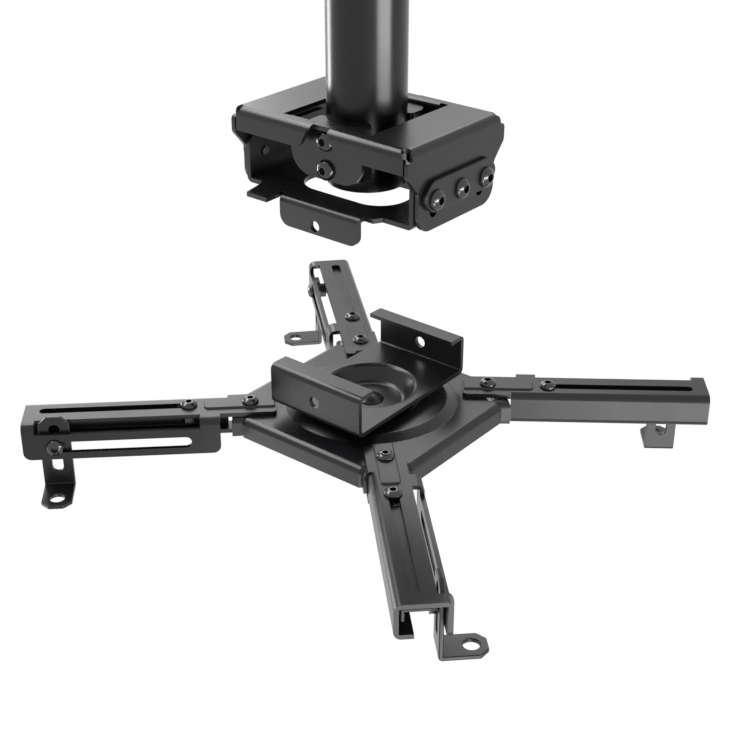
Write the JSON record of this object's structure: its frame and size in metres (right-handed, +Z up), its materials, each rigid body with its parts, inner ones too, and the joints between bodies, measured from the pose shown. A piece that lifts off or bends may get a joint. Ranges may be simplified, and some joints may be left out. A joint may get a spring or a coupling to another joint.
{
  "type": "projector ceiling mount",
  "caption": "Black steel ceiling projector mount: pole with tilt-and-roll head above a quick-release spider with slotted swing arms and adjustable screw feet.",
  "frame": {"origin": "centre of the pole's top end", "axes": "+Z up along the pole, X along the head's tilt axis, Y along its roll axis"},
  "size_m": [0.3106, 0.3011, 0.3379],
  "materials": {
    "pole": "satin black powder coat",
    "sheet": "satin black powder coat on folded steel sheet",
    "fastener": "black oxide, semi-gloss"
  },
  "bodies": {
    "pole": {"pole": "pole", "saddle_front": "sheet", "saddle_rear": "sheet", "roll_screws": "fastener"},
    "housing": {"housing": "sheet"},
    "cradle": {"cradle": "sheet", "strap_left": "sheet", "strap_right": "sheet", "tilt_screws_left": "fastener", "tilt_screws_right": "fastener"},
    "channel": {"channel": "sheet", "rivet": "fastener"},
    "plate": {"spider_plate": "sheet"},
    "arm_right": {"arm_right": "sheet", "arm_liner_right": "sheet", "arm_screws_right": "fastener", "arm_nuts_right": "fastener"},
    "clamp_right": {"foot_screw_right": "fastener", "foot_nut_right": "fastener"},
    "foot_right": {"foot_right": "sheet"},
    "arm_back": {"arm_back": "sheet", "arm_liner_back": "sheet", "arm_screws_back": "fastener", "arm_nuts_back": "fastener"},
    "clamp_back": {"foot_screw_back": "fastener", "foot_nut_back": "fastener"},
    "foot_back": {"foot_back": "sheet"},
    "arm_left": {"arm_left": "sheet", "arm_liner_left": "sheet", "arm_screws_left": "fastener", "arm_nuts_left": "fastener"},
    "clamp_left": {"foot_screw_left": "fastener", "foot_nut_left": "fastener"},
    "foot_left": {"foot_left": "sheet"},
    "arm_front": {"arm_front": "sheet", "arm_liner_front": "sheet", "arm_screws_front": "fastener", "arm_nuts_front": "fastener"},
    "clamp_front": {"foot_screw_front": "fastener", "foot_nut_front": "fastener"},
    "foot_front": {"foot_front": "sheet"}
  },
  "joints": [
    {"name": "roll", "type": "hinge", "parent": "pole", "child": "housing", "pos_m": [0, 0, -0.1287], "axis": [0, 1, 0], "range_deg": [-6, 6]},
    {"name": "tilt", "type": "hinge", "parent": "housing", "child": "cradle", "pos_m": [0, 0, -0.1484], "axis": [1, 0, 0], "range_deg": [-15, 15]},
    {"name": "spider_lift", "type": "slide", "parent": "cradle", "child": "channel", "axis": [0, 0, 1], "range_m": [0, 0.08]},
    {"name": "swivel", "type": "hinge", "parent": "channel", "child": "plate", "pos_m": [0.003, -0.0005, -0.2917], "axis": [0, 0, 1], "continuous": true},
    {"name": "swing_right", "type": "hinge", "parent": "plate", "child": "arm_right", "pos_m": [0.07452, 0.07279, -0.2872], "axis": [0, 0, 1], "range_deg": [-2, 14]},
    {"name": "reach_right", "type": "slide", "parent": "arm_right", "child": "clamp_right", "axis": [-0.7965, -0.6046, 0], "range_m": [-0.004, 0.066]},
    {"name": "height_right", "type": "slide", "parent": "clamp_right", "child": "foot_right", "axis": [0, 0, 1], "range_m": [-0.0025, 0.0205]},
    {"name": "swing_back", "type": "hinge", "parent": "plate", "child": "arm_back", "pos_m": [-0.07029, 0.07102, -0.2872], "axis": [0, 0, 1], "range_deg": [-12, 8]},
    {"name": "reach_back", "type": "slide", "parent": "arm_back", "child": "clamp_back", "axis": [0.7455, -0.6665, 0], "range_m": [0, 0.07]},
    {"name": "height_back", "type": "slide", "parent": "clamp_back", "child": "foot_back", "axis": [0, 0, 1], "range_m": [0, 0.023]},
    {"name": "swing_left", "type": "hinge", "parent": "plate", "child": "arm_left", "pos_m": [-0.06852, -0.07379, -0.2872], "axis": [0, 0, 1], "range_deg": [-8, 12]},
    {"name": "reach_left", "type": "slide", "parent": "arm_left", "child": "clamp_left", "axis": [0.7193, 0.6947, 0], "range_m": [0, 0.07]},
    {"name": "height_left", "type": "slide", "parent": "clamp_left", "child": "foot_left", "axis": [0, 0, 1], "range_m": [-0.0095, 0.0135]},
    {"name": "swing_front", "type": "hinge", "parent": "plate", "child": "arm_front", "pos_m": [0.07629, -0.07202, -0.2872], "axis": [0, 0, 1], "range_deg": [-10, 10]},
    {"name": "reach_front", "type": "slide", "parent": "arm_front", "child": "clamp_front", "axis": [-0.7096, 0.7046, 0], "range_m": [0, 0.07]},
    {"name": "height_front", "type": "slide", "parent": "clamp_front", "child": "foot_front", "axis": [0, 0, 1], "range_m": [-0.0095, 0.0135]}
  ]
}
